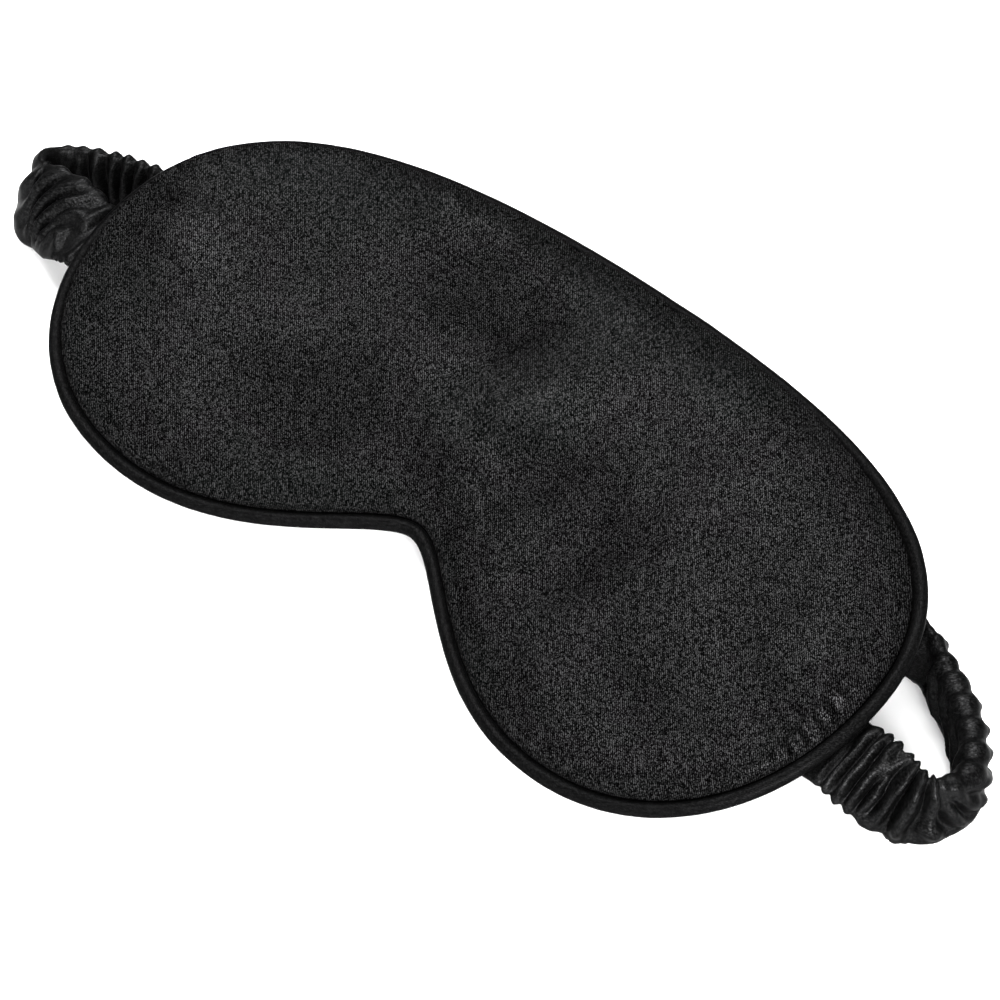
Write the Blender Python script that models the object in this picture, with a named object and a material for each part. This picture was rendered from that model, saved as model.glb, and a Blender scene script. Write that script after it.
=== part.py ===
"""Sleep eye mask: two padded satin lobes with a piped edge, and a ruched elastic strap.

The mask lies face up. It leans on its strap, so its brow edge (+Y) is higher than its nose edge (-Y).
X runs along the mask, Z is up, and the table is z = 0. Sizes are in metres.
"""

from math import atan, cos, pi, radians, sin, sqrt

import bmesh
import bpy
from mathutils import Matrix, Vector

MM = 0.001

# Outline of the mask, right half, as three Bezier arcs with level or upright ends
HALF_LENGTH = 104.5 * MM
END_Y = -1.0 * MM
BROW_Y, LOBE_Y, NOTCH_Y = 50.5 * MM, -50.0 * MM, -24.0 * MM
LOBE_X = 57.5 * MM
BROW_HANDLE, END_HANDLE_UP, END_HANDLE_DOWN = 68.0 * MM, 36.0 * MM, 27.5 * MM
LOBE_HANDLE_OUT, LOBE_HANDLE_IN, NOTCH_HANDLE = 29.0 * MM, 30.5 * MM, 9.0 * MM
BROW_STEPS, SIDE_STEPS, NOSE_STEPS = 14, 9, 13

# How the mask lies
TILT = radians(14.0)
SEAM_HEIGHT = 15.4 * MM
CURL = 0.477  # the ends rise by CURL * x * x
CURL_LEVEL_X = 66.4 * MM
TWIST = 0.575  # opposite corners rise by TWIST * x * y

# Layers, as heights from the seam plane and insets from the outline
FABRIC = 0.5 * MM
GAP = 0.3 * MM
FRONT_CROWN = 7.0 * MM
REAR_CROWN = 5.0 * MM
PANEL_INSET = 3.1 * MM
PANEL_BASE = 0.75 * MM
LINING_THICKNESS = 0.4 * MM
WADDING_INSET = 5.7 * MM
WADDING_BASE = 1.15 * MM
TAB_INSET = 10.0 * MM
SPINE_X, SPINE_RISE, SPINE_DROP = 57.0 * MM, 12.0 * MM, 13.0 * MM
SPINE_SHARE = 0.6  # the spine point's x as a share of the outline point's
RINGS = (0.0, 0.03, 0.1, 0.22, 0.36, 0.8)
EDGE_ROUND = 0.34  # share of the way to the spine over which the pillow edge rounds off
FLAT_CROWN = 0.84

# Piping
BEAD_RADIUS = 1.5 * MM
BEAD_BORE = 1.1 * MM
CORD_RADIUS = 0.8 * MM
FLANGE_INSET = 8.0 * MM
FLANGE_OUTER, FLANGE_INNER = 0.45 * MM, 0.15 * MM
THREAD_RADIUS = 0.2 * MM
DIAMOND = ((1, 0), (0, 1), (-1, 0), (0, -1))
SHARP_ANGLE = radians(50)
SEAM_THREAD_INSET, SEAM_THREAD_HEIGHT = 5.0 * MM, 0.85 * MM

# Strap
STRAP_WIDTH, SEAM_WIDTH = 18.5 * MM, 16.5 * MM
STRAP_THICKNESS, SEAM_THICKNESS = 3.8 * MM, 2.2 * MM
SLEEVE_WALL = 0.4 * MM
ELASTIC_WIDTH, ELASTIC_THICKNESS = 12.0 * MM, 0.7 * MM
TAB_DEPTH = 3.0 * MM
TAB_POCKET_DEPTH = 4.45 * MM
TAB_POCKET_HALF, TAB_POCKET_FADE = 19.0 * MM, 10.0 * MM
TAB_END_X = 95.5 * MM
STRAP_EXIT_X = 105.0 * MM
RIGHT_SEAM_Y, LEFT_SEAM_Y = -9.8 * MM, -12.0 * MM
STEPS_PER_STATION = 3
LONG_SPAN = 40.0 * MM  # a span between stations that gets twice the steps
OVAL_TURNS = 4  # points round each edge of the strap's section
JOINT_X = 50.0 * MM  # where the sliding middle of the strap begins
END_GAP = 0.3 * MM
TACK_ROWS, TACK_SHARE = 6, 0.38  # zigzags in a tack, and its half length as a share of the strap's width
TACK_X, TACK_STEP = 97.5 * MM, 2.6 * MM
TACK_RISE = 2.2  # thread radii from the sleeve's face to the thread's middle

# The strap's middle line from the right seam round to the left one, in millimetres and degrees:
# x, y, lean of its upper edge to the left of the way it runs, and height of its lower edge.
RIGHT_LOOP = (
    (112.0, -9.4, 46, 6.0),
    (117.3, -8.5, 24, 2.0),
    (122.5, -6.4, 6, 0.0),
    (127.8, -0.8, -11, 0.0),
    (125.6, 6.0, -17, 0.0),
    (117.6, 13.3, -17, 0.0),
    (110.0, 19.2, -12, 0.0),
    (102.8, 23.4, -6, 0.0),
    (94.8, 25.6, -6, 0.0),
    (75.0, 27.5, -20, 0.0),
)
MIDDLE = ((50.0, 27.5, -32, 0.0), (0.0, 25.0, -47, 0.0), (-50.0, 20.0, -50, 0.0))
LEFT_LOOP = (
    (-80.0, 16.5, -44, 0.0),
    (-107.5, 13.0, -14, 0.0),
    (-116.0, 11.0, -4, 0.0),
    (-123.0, 8.3, 0, 0.0),
    (-128.8, 4.0, 0, 0.0),
    (-131.2, -0.8, 5, 0.0),
    (-130.0, -5.0, 13, 0.0),
    (-125.8, -8.0, 20, 0.8),
    (-120.0, -9.5, 32, 2.8),
    (-112.0, -11.0, 53, 6.6),
)

BLACK_SATIN = ((0.012, 0.012, 0.013, 1.0), 0.42)
BLACK_LINING = ((0.010, 0.010, 0.011, 1.0), 0.8)
WHITE_WADDING = ((0.72, 0.71, 0.68, 1.0), 0.95)
WHITE_CORD = ((0.62, 0.60, 0.55, 1.0), 0.9)
BLACK_ELASTIC = ((0.018, 0.018, 0.018, 1.0), 0.75)
BLACK_THREAD = ((0.008, 0.008, 0.009, 1.0), 0.5)


def clear_scene():
    for item in list(bpy.data.objects):
        bpy.data.objects.remove(item, do_unlink=True)


def material(name, look):
    made = bpy.data.materials.new(name)
    made.use_nodes = True
    shader = made.node_tree.nodes["Principled BSDF"]
    shader.inputs["Base Color"].default_value = look[0]
    shader.inputs["Roughness"].default_value = look[1]
    shader.inputs["Metallic"].default_value = 0.0
    return made


def bezier(start, start_handle, end_handle, end, steps):
    """Points from start up to, but not including, end."""
    points = []
    for step in range(steps):
        t = step / steps
        u = 1.0 - t
        points.append(
            start * u**3 + start_handle * (3 * u * u * t) + end_handle * (3 * u * t * t) + end * t**3
        )
    return points


def mask_outline():
    """The closed outline, clockwise from the middle of the brow edge."""
    brow, end = Vector((0, BROW_Y)), Vector((HALF_LENGTH, END_Y))
    lobe, notch = Vector((LOBE_X, LOBE_Y)), Vector((0, NOTCH_Y))
    right = bezier(brow, brow + Vector((BROW_HANDLE, 0)), end + Vector((0, END_HANDLE_UP)), end, BROW_STEPS)
    right += bezier(
        end, end - Vector((0, END_HANDLE_DOWN)), lobe + Vector((LOBE_HANDLE_OUT, 0)), lobe, SIDE_STEPS
    )
    right += bezier(
        lobe, lobe - Vector((LOBE_HANDLE_IN, 0)), notch + Vector((NOTCH_HANDLE, 0)), notch, NOSE_STEPS
    )
    left = [Vector((-p.x, p.y)) for p in reversed(right[1:])]
    return right + [notch] + left


def inset(outline, distance):
    """The outline moved into the mask by distance."""
    count = len(outline)
    moved = []
    for i, point in enumerate(outline):
        along = (outline[(i + 1) % count] - outline[i - 1]).normalized()
        moved.append(point + Vector((along.y, -along.x)) * distance)
    return moved


def spine_point(point):
    """Where the lobes' middle line is nearest to an outline point."""
    x = max(-SPINE_X, min(SPINE_X, SPINE_SHARE * point.x))
    return Vector((x, SPINE_RISE - SPINE_DROP * (x / SPINE_X) ** 2))


def puff(t):
    """How full the pad is at a share t of the way from the edge to the spine, from 0 to 1."""
    rounding = min(t / EDGE_ROUND, 1.0)
    return FLAT_CROWN * sqrt(1.0 - (1.0 - rounding) ** 2) + (1.0 - FLAT_CROWN) * t * (2.0 - t)


def drape(x, y):
    return CURL * (x * x - CURL_LEVEL_X**2) + TWIST * x * y


def to_world(x, y, z):
    """A point of the mask's own frame, with z measured from the draped seam plane."""
    tilted = Matrix.Rotation(TILT, 4, "X") @ Vector((x, y, z + drape(x, y)))
    return tilted + Vector((0, 0, SEAM_HEIGHT))


def draped(points, heights):
    return [(p.x, p.y, h + drape(p.x, p.y)) for p, h in zip(points, heights)]


def dome(outline, base, crown, rings=RINGS):
    """Rings from the edge to the spine that swell from the base heights to crown."""
    made = []
    for t in rings:
        points = [p.lerp(spine_point(p), t) for p in outline]
        made.append(draped(points, [b + (crown - b) * puff(t) for b in base]))
    return made


def tab_pocket(point):
    """1 where the strap's sewn end lies under the edge, fading to 0 beside it."""
    seam_y = RIGHT_SEAM_Y if point.x > 0 else LEFT_SEAM_Y
    if abs(point.x) < HALF_LENGTH / 2:
        return 0.0
    beyond = abs(point.y - seam_y) - TAB_POCKET_HALF
    return max(0.0, min(1.0, 1.0 - beyond / TAB_POCKET_FADE))


def rear_base(outline):
    depth = TAB_POCKET_DEPTH - PANEL_BASE
    return [-PANEL_BASE - depth * tab_pocket(p) for p in outline]


def add_object(name, mesh, look, parent=None):
    made = bpy.data.objects.new(name, mesh)
    bpy.context.scene.collection.objects.link(made)
    mesh.materials.append(look)
    made.parent = parent
    return made


def finished_mesh(name, built):
    bmesh.ops.recalc_face_normals(built, faces=built.faces[:])
    mesh = bpy.data.meshes.new(name)
    built.to_mesh(mesh)
    built.free()
    mesh.shade_smooth()
    mesh.set_sharp_from_angle(angle=SHARP_ANGLE)
    return mesh


def add_rings(built, rings, joined):
    """Quads between neighbouring rings, and from the last to the first if joined."""
    corners = [[built.verts.new(p) for p in ring] for ring in rings]
    pairs = list(zip(corners, corners[1:]))
    if joined:
        pairs.append((corners[-1], corners[0]))
    for near, far in pairs:
        count = len(near)
        for i in range(count):
            j = (i + 1) % count
            built.faces.new((near[i], near[j], far[j], far[i]))
    return corners


def fill_oval(built, ring):
    """Quads across the inner ring, from its brow side to its nose side."""
    count = len(ring)
    quarter = count // 4
    for i in range(-quarter, quarter):
        across = count // 2 - i
        places = (i, i + 1, across - 1, across)
        corners = [ring[place % count] for place in places]
        built.faces.new(list(dict.fromkeys(corners)))


def pillow_mesh(name, upper, lower):
    """A closed body whose rings run from the spine down one face and back up the other."""
    built = bmesh.new()
    corners = add_rings(built, list(reversed(upper)) + lower, joined=False)
    fill_oval(built, corners[0])
    fill_oval(built, corners[-1])
    return finished_mesh(name, built)


def ring_mesh(name, rings):
    built = bmesh.new()
    add_rings(built, rings, joined=True)
    return finished_mesh(name, built)


def tube_mesh(name, rings):
    built = bmesh.new()
    corners = add_rings(built, rings, joined=False)
    built.faces.new(corners[0])
    built.faces.new(corners[-1])
    return finished_mesh(name, built)


def shell(name, outline, base, crown, wall, look, parent):
    """A domed skin of one thickness, open towards the seam plane."""
    toward = 1.0 if crown > 0 else -1.0
    outer = dome(inset(outline, 0), base, crown)
    inner = dome(inset(outline, wall), base, crown - toward * wall)
    return add_object(name, pillow_mesh(name, outer, inner), look, parent)


def add_panels(outline, satin, lining, parent):
    edge = inset(outline, PANEL_INSET)
    flat = [PANEL_BASE] * len(outline)
    shell("front_panel", edge, flat, FRONT_CROWN, FABRIC, satin, parent)
    shell("rear_panel", edge, rear_base(outline), -REAR_CROWN, FABRIC, satin, parent)
    lining_edge = inset(outline, PANEL_INSET + FABRIC + GAP)
    lining_crown = FRONT_CROWN - FABRIC - GAP
    shell("blackout_lining", lining_edge, flat, lining_crown, LINING_THICKNESS, lining, parent)


def add_padding(outline, look, parent):
    """Wadding that fills the pocket, cut back over the piping's flange and the strap's ends."""
    upper_crown = FRONT_CROWN - FABRIC - LINING_THICKNESS - 2 * GAP
    count = len(outline)
    upper = dome(inset(outline, WADDING_INSET), [WADDING_BASE] * count, upper_crown)
    core = inset(outline, TAB_INSET)
    ledge = draped(core, [WADDING_BASE] * count)
    lower = dome(core, [-PANEL_BASE] * count, -(REAR_CROWN - FABRIC - GAP), RINGS[2:])
    add_object("padding", pillow_mesh("padding", upper, [ledge] + lower), look, parent)


def edge_section(outline, profile):
    """The profile, as (inset, height) pairs, carried round the outline."""
    loops = [draped(inset(outline, across), [height] * len(outline)) for across, height in profile]
    return [list(section) for section in zip(*loops)]


def arc(radius, first, last, steps):
    """Points on a circle about the bead's middle, as (inset, height) pairs."""
    angles = [first + (last - first) * i / (steps - 1) for i in range(steps)]
    return [(BEAD_RADIUS + radius * cos(a), radius * sin(a)) for a in angles]


def add_piping(outline, satin, cord, thread, parent):
    outer_turn = atan(FLANGE_OUTER / sqrt(BEAD_RADIUS**2 - FLANGE_OUTER**2))
    inner_turn = atan(FLANGE_INNER / sqrt(BEAD_BORE**2 - FLANGE_INNER**2))
    profile = [(FLANGE_INSET, FLANGE_OUTER)]
    profile += arc(BEAD_RADIUS, outer_turn, 2 * pi - outer_turn, 8)
    profile += [(FLANGE_INSET, -FLANGE_OUTER), (FLANGE_INSET, -FLANGE_INNER)]
    profile += arc(BEAD_BORE, 2 * pi - inner_turn, inner_turn, 6)
    profile += [(FLANGE_INSET, FLANGE_INNER)]
    cover = ring_mesh("piping_cover", edge_section(outline, profile))
    add_object("piping_cover", cover, satin, parent)
    core = ring_mesh("piping_cord", edge_section(outline, arc(CORD_RADIUS, 0, 2 * pi * 5 / 6, 6)))
    add_object("piping_cord", core, cord, parent)
    seam = [
        (SEAM_THREAD_INSET + THREAD_RADIUS * a, SEAM_THREAD_HEIGHT + THREAD_RADIUS * b) for a, b in DIAMOND
    ]
    add_object("seam_thread", ring_mesh("seam_thread", edge_section(outline, seam)), thread, parent)


def add_strap_tack(name, side, seam_y, look, parent):
    """A zigzag of thread across the strap's sewn end."""
    height = -(TAB_DEPTH - SEAM_THICKNESS / 2) + TACK_RISE * THREAD_RADIUS
    rings = []
    for row in range(2 * TACK_ROWS + 1):
        x = side * (TACK_X + TACK_STEP * (row % 2))
        y = seam_y + TACK_SHARE * SEAM_WIDTH * (row / TACK_ROWS - 1.0)
        middle = Vector((x, y, height + drape(x, y)))
        rings.append([middle + Vector((2 * a, 0, b)) * THREAD_RADIUS for a, b in DIAMOND])
    add_object(name, tube_mesh(name, rings), look, parent)


def sewn_station(x, seam_y):
    """Where the strap lies flat in the mask's seam, as x, y, lean, lift."""
    centre = to_world(x, seam_y, -TAB_DEPTH)
    lean = pi / 2 - TILT - atan(TWIST * x)
    half_width, half_thickness = SEAM_WIDTH / 2, SEAM_THICKNESS / 2
    return centre.x, centre.y, lean, centre.z - (half_width - half_thickness) * cos(lean) - half_thickness


def table_station(station):
    x, y, lean, lift = station
    return x * MM, y * MM, radians(lean), lift * MM


def strap_stations():
    """Every station as x, y, lean, lift, width, thickness."""
    right = [sewn_station(x, RIGHT_SEAM_Y) for x in (TAB_END_X, STRAP_EXIT_X)]
    left = [sewn_station(-x, LEFT_SEAM_Y) for x in (STRAP_EXIT_X, TAB_END_X)]
    free = [table_station(s) for s in RIGHT_LOOP + MIDDLE + LEFT_LOOP]
    sewn_size, free_size = (SEAM_WIDTH, SEAM_THICKNESS), (STRAP_WIDTH, STRAP_THICKNESS)
    return (
        [s + sewn_size for s in right] + [s + free_size for s in free] + [s + sewn_size for s in left]
    )


def smooth_between(before, start, end, after, t):
    """Catmull-Rom from start to end, for each number of the stations."""
    return tuple(
        0.5 * (2 * b + (c - a) * t + (2 * a - 5 * b + 4 * c - d) * t * t + (3 * b - a - 3 * c + d) * t**3)
        for a, b, c, d in zip(before, start, end, after)
    )


def strap_samples():
    """The stations with smooth steps between them, the sewn ends left straight."""
    stations = strap_stations()
    samples = [stations[0]]
    for i in range(1, len(stations) - 2):
        long = abs(stations[i][0] - stations[i + 1][0]) > LONG_SPAN
        steps = STEPS_PER_STATION * (2 if long else 1)
        samples += [smooth_between(*stations[i - 1 : i + 3], step / steps) for step in range(steps)]
    return samples + stations[-2:]


def strap_frames():
    """Middle, across and through directions, width and thickness at each sample."""
    samples = strap_samples()
    middles = []
    for x, y, lean, lift, width, thickness in samples:
        middles.append(Vector((x, y, lift + (width - thickness) / 2 * abs(cos(lean)) + thickness / 2)))
    frames = []
    for i, (_, _, lean, _, width, thickness) in enumerate(samples):
        along = (middles[min(i + 1, len(samples) - 1)] - middles[max(i - 1, 0)]).normalized()
        left = Vector((-along.y, along.x, 0)).normalized()
        across = left * sin(lean) + Vector((0, 0, cos(lean)))
        across = (across - along * across.dot(along)).normalized()
        frames.append((middles[i], across, along.cross(across), along, width, thickness))
    return frames


def oval(frame, width, thickness):
    """A flat section with round edges."""
    middle, across, through = frame[:3]
    radius = thickness / 2
    reach = width / 2 - radius
    ring = []
    for end in (1, -1):
        for step in range(OVAL_TURNS):
            angle = pi * (step / (OVAL_TURNS - 1) - 0.5)
            side = across * (reach + radius * cos(angle)) + through * radius * sin(angle)
            ring.append(middle + side * end)
        ring.append(middle + through * end * radius)
    return ring


def frame_near(frames, x):
    """Which frame of the strap's far side is nearest to an x place."""
    far_side = [i for i, frame in enumerate(frames) if frame[0].y > 0]
    return min(far_side, key=lambda i: abs(frames[i][0].x - x))


def moved(frame, distance):
    return (frame[0] + frame[3] * distance,) + frame[1:]


def add_strap_part(side, frames, satin, elastic, parent):
    outer = [oval(f, f[4], f[5]) for f in frames]
    inner = [oval(f, f[4] - 2 * SLEEVE_WALL, f[5] - 2 * SLEEVE_WALL) for f in reversed(frames)]
    name = "strap_sleeve_" + side
    add_object(name, ring_mesh(name, outer + inner), satin, parent)
    band = [flat_band(f) for f in frames]
    name = "strap_elastic_" + side
    add_object(name, tube_mesh(name, band), elastic, parent)


def flat_band(frame):
    middle, across, through = frame[:3]
    half, edge = ELASTIC_WIDTH / 2, ELASTIC_THICKNESS / 2
    corners = ((1, -1), (1, 1), (0, 1), (-1, 1), (-1, -1), (0, -1))
    return [middle + across * half * a + through * edge * b for a, b in corners]


def add_strap(satin, elastic):
    frames = strap_frames()
    right_cut, left_cut = frame_near(frames, JOINT_X), frame_near(frames, -JOINT_X)
    half = END_GAP / 2
    right = frames[:right_cut] + [moved(frames[right_cut], -half)]
    back = [moved(frames[right_cut], half)] + frames[right_cut + 1 : left_cut]
    back.append(moved(frames[left_cut], -half))
    left = [moved(frames[left_cut], half)] + frames[left_cut + 1 :]
    slider = bpy.data.objects.new("strap_slide", None)
    bpy.context.scene.collection.objects.link(slider)
    add_strap_part("right", right, satin, elastic, None)
    add_strap_part("back", back, satin, elastic, slider)
    add_strap_part("left", left, satin, elastic, None)


def main():
    clear_scene()
    satin = material("black_satin", BLACK_SATIN)
    lining = material("black_lining", BLACK_LINING)
    thread = material("black_thread", BLACK_THREAD)
    frame = bpy.data.objects.new("mask_frame", None)
    bpy.context.scene.collection.objects.link(frame)
    frame.location = (0, 0, SEAM_HEIGHT)
    frame.rotation_euler = (TILT, 0, 0)
    outline = mask_outline()
    add_panels(outline, satin, lining, frame)
    add_padding(outline, material("white_wadding", WHITE_WADDING), frame)
    add_piping(outline, satin, material("white_cord", WHITE_CORD), thread, frame)
    add_strap_tack("strap_tack_right", 1, RIGHT_SEAM_Y, thread, frame)
    add_strap_tack("strap_tack_left", -1, LEFT_SEAM_Y, thread, frame)
    add_strap(satin, material("black_elastic", BLACK_ELASTIC))


main()
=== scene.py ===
"""Looks for the sleep eye mask: satin pad covers, piping, ruched strap, studio floor, lights and camera."""

from math import atan, cos, exp, pi, radians, sin, sqrt

import bpy
import numpy as np
from mathutils import Matrix, Vector, noise


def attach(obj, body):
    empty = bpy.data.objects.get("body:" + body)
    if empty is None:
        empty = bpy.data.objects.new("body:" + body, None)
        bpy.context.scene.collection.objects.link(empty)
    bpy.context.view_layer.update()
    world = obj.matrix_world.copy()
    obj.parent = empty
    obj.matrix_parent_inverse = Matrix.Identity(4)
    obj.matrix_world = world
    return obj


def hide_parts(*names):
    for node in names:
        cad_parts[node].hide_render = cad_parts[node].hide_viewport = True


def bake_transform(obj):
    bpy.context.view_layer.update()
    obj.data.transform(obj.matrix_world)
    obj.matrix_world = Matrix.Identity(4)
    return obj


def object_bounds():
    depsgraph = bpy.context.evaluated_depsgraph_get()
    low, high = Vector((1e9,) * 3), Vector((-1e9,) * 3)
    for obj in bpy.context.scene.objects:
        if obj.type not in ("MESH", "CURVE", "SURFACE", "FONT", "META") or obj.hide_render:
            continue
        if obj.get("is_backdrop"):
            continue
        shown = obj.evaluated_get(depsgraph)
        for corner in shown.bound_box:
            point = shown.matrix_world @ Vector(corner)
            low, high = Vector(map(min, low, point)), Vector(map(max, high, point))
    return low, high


MM = 0.001

# The mask's outline, as in the CAD: half its length, its brow, lobes and nose notch, and the curves' handles
HALF_LENGTH, END_Y = 104.5 * MM, -1.0 * MM
BROW_Y, LOBE_Y, NOTCH_Y, LOBE_X = 50.5 * MM, -50.0 * MM, -24.0 * MM, 57.5 * MM
BROW_HANDLE, END_HANDLE_UP, END_HANDLE_DOWN = 68.0 * MM, 36.0 * MM, 27.5 * MM
LOBE_HANDLE_OUT, LOBE_HANDLE_IN, NOTCH_HANDLE = 29.0 * MM, 30.5 * MM, 9.0 * MM
OUTLINE_POINTS, CURVE_STEPS = 480, 60

# How the mask lies, as in the CAD: tipped about its length, then curled and twisted
TILT, SEAM_HEIGHT = radians(14.0), 15.4 * MM
CURL, CURL_LEVEL_X, TWIST = 0.477, 66.4 * MM, 0.575

# The pad's layers, as in the CAD: the covers rise from the seam to a curved line, the spine
SPINE_X, SPINE_RISE, SPINE_DROP = 57.0 * MM, 12.0 * MM, 13.0 * MM
PANEL_INSET, PANEL_BASE, FABRIC = 3.1 * MM, 0.75 * MM, 0.4 * MM
FRONT_CROWN, REAR_CROWN = 7.0 * MM, 5.0 * MM
GAP, LINING_THICKNESS, WADDING_BASE, TAB_INSET = 0.3 * MM, 0.4 * MM, 1.15 * MM, 10.0 * MM
EDGE_ROUND, FLAT_CROWN = 0.34, 0.84

# The strap's sewn ends, and the pocket that the rear cover leaves for them
RIGHT_SEAM_Y, LEFT_SEAM_Y, TAB_DEPTH = -9.8 * MM, -12.0 * MM, 3.0 * MM
TAB_POCKET_DEPTH, TAB_POCKET_HALF, TAB_POCKET_FADE = 4.45 * MM, 19.0 * MM, 10.0 * MM
TAB_END_X, STRAP_EXIT_X = 95.5 * MM, 105.0 * MM


def bezier(p0, p1, p2, p3):
    """Points of a cubic curve, without its last one."""
    t = np.linspace(0.0, 1.0, CURVE_STEPS, endpoint=False)[:, None]
    u = 1.0 - t
    p0, p1, p2, p3 = (np.array(p, float) for p in (p0, p1, p2, p3))
    return p0 * u**3 + p1 * 3 * u * u * t + p2 * 3 * u * t * t + p3 * t**3


def even_spacing(points, count):
    """A closed line's points, resampled at equal distances. Starts at the first point."""
    closed = np.vstack([points, points[:1]])
    length = np.concatenate([[0.0], np.cumsum(np.linalg.norm(np.diff(closed, axis=0), axis=1))])
    at = np.linspace(0.0, length[-1], count, endpoint=False)
    return np.stack([np.interp(at, length, closed[:, k]) for k in range(closed.shape[1])], axis=1)


def mask_outline():
    """The closed outline, clockwise from the middle of the brow edge."""
    brow, end, lobe, notch = (0, BROW_Y), (HALF_LENGTH, END_Y), (LOBE_X, LOBE_Y), (0, NOTCH_Y)
    right = np.vstack([
        bezier(brow, (BROW_HANDLE, BROW_Y), (HALF_LENGTH, END_Y + END_HANDLE_UP), end),
        bezier(end, (HALF_LENGTH, END_Y - END_HANDLE_DOWN), (LOBE_X + LOBE_HANDLE_OUT, LOBE_Y), lobe),
        bezier(lobe, (LOBE_X - LOBE_HANDLE_IN, LOBE_Y), (NOTCH_HANDLE, NOTCH_Y), notch),
    ])
    left = right[:0:-1] * (-1.0, 1.0)
    return even_spacing(np.vstack([right, [notch], left]), OUTLINE_POINTS)


OUTLINE = mask_outline()
ALONG = np.roll(OUTLINE, -1, axis=0) - np.roll(OUTLINE, 1, axis=0)
ALONG /= np.linalg.norm(ALONG, axis=1)[:, None]
INWARD = np.stack([ALONG[:, 1], -ALONG[:, 0]], axis=1)
STEP = np.linalg.norm(OUTLINE[1] - OUTLINE[0])
DISTANCE = np.arange(OUTLINE_POINTS) * STEP
PERIMETER = OUTLINE_POINTS * STEP


def drape(x, y):
    """How far the seam plane is bent up at x, y."""
    return CURL * (x * x - CURL_LEVEL_X**2) + TWIST * x * y


def to_world(x, y, z):
    """Points of the mask's own frame, with z measured from the draped seam plane."""
    z = z + drape(x, y)
    across, up = y * cos(TILT) - z * sin(TILT), y * sin(TILT) + z * cos(TILT)
    return np.stack([x, across, up + SEAM_HEIGHT], axis=-1)


def smooth(share):
    """A share from 0 to 1, with its ends eased."""
    return share * share * (3 - 2 * share)


def window(value, low, high, fade):
    """1 between low and high, with smooth ends."""
    rise = np.clip((value - low + fade) / fade, 0, 1)
    fall = np.clip((high + fade - value) / fade, 0, 1)
    return smooth(np.minimum(rise, fall))


def stretch(x_low, x_high, x_fade, y_low, y_high, y_fade):
    """1 on one stretch of the outline, with smooth ends. In mm."""
    along_x = window(OUTLINE[:, 0], x_low * MM, x_high * MM, x_fade * MM)
    return along_x * window(OUTLINE[:, 1], y_low * MM, y_high * MM, y_fade * MM)


def mesh_object(name, points, faces, look):
    """A smooth mesh of one material, from an array of points."""
    mesh = bpy.data.meshes.new(name)
    mesh.from_pydata([tuple(p) for p in points.reshape(-1, 3)], [], faces)
    mesh.validate()
    mesh.shade_smooth()
    made = bpy.data.objects.new(name, mesh)
    bpy.context.scene.collection.objects.link(made)
    mesh.materials.append(look)
    return made


def grid_faces(rows, columns, close_rows=False):
    """Quads of a grid whose columns wrap round, and its rows too if close_rows is set."""
    faces = []
    for r in range(rows if close_rows else rows - 1):
        below, above = r * columns, (r + 1) % rows * columns
        for c in range(columns):
            d = (c + 1) % columns
            faces.append((below + c, below + d, above + d, above + c))
    return faces


def spread(obj, name, values):
    """A named vector on every vertex, which a material reads."""
    values = np.asarray(values, np.float32)
    attribute = obj.data.attributes.new(name, "FLOAT_VECTOR", "POINT")
    attribute.data.foreach_set("vector", values.ravel())


# ------------------------------------------------------------------ pad covers

def spine_points():
    """The line that the covers rise to: one point for each point of the outline."""
    x = np.clip(0.6 * OUTLINE[:, 0], -SPINE_X, SPINE_X)
    return np.stack([x, SPINE_RISE - SPINE_DROP * (x / SPINE_X) ** 2], axis=1)


def notches(places, width):
    """Narrow dips round the outline, at distances from the middle of the brow edge."""
    total = np.zeros(OUTLINE_POINTS)
    for place, depth in places:
        gap = (DISTANCE - place + PERIMETER / 2) % PERIMETER - PERIMETER / 2
        total = np.maximum(total, depth * np.exp(-np.abs(gap / width) ** 1.5))
    return total


def nearest(x, y):
    """Distance round the outline of the point nearest to x, y."""
    return DISTANCE[np.argmin(np.hypot(OUTLINE[:, 0] - x, OUTLINE[:, 1] - y))]


def scattered(rng, first, last, spacing, depth):
    """Random notches from first to last, about spacing apart."""
    places, at = [], first
    while at < last:
        places.append((at, depth * rng.uniform(0.45, 1.0)))
        at += spacing * rng.uniform(0.6, 1.4)
    return places


# Soft dents and swells in the front: x, y, half sizes, turn, and depth, in mm and degrees
DENTS = (
    (-33, 27, 12, 10, 0, 3.2),
    (-15, 25, 9, 8, 0, 2.2),
    (-37, -16, 19, 13, 20, 3.6),
    (-6, -18, 11, 8, 10, 1.8),
    (15, 0, 8, 14, -20, 2.1),
    (33, -8, 11, 13, -10, 1.9),
    (0, 10, 10, 8, 0, -1.2),
    (-88, -3, 12, 10, 0, -1.6),
    (-14, -36, 10, 8, 0, 1.2),
    (-66, 14, 18, 13, -20, 0.9),
    (62, 12, 20, 13, 30, 0.7),
    (68, -26, 17, 14, -30, 0.8),
)


def dents(x, y):
    """Height that the dents and swells add at x, y."""
    total = np.zeros_like(x)
    for cx, cy, rx, ry, turn, depth in DENTS:
        c, s = cos(radians(turn)), sin(radians(turn))
        dx, dy = x - cx * MM, y - cy * MM
        across, along = (dx * c + dy * s) / (rx * MM), (dy * c - dx * s) / (ry * MM)
        total -= depth * MM * np.exp(-(across**2 + along**2))
    return total


def noise_field(points, scale, offset):
    """Smooth noise from -1 to 1 at points, an array of 3-D places."""
    flat = points.reshape(-1, 3) / scale + offset
    return np.array([noise.noise(Vector(p)) for p in flat]).reshape(points.shape[:-1])


# The last row of a cover stops just short of the spine
LAST_ROW = 0.985
# A tuck draws the cloth in by this many mm, and down by this share of its height
TUCK_PULL, TUCK_DROP = 1.6, 0.5


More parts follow.
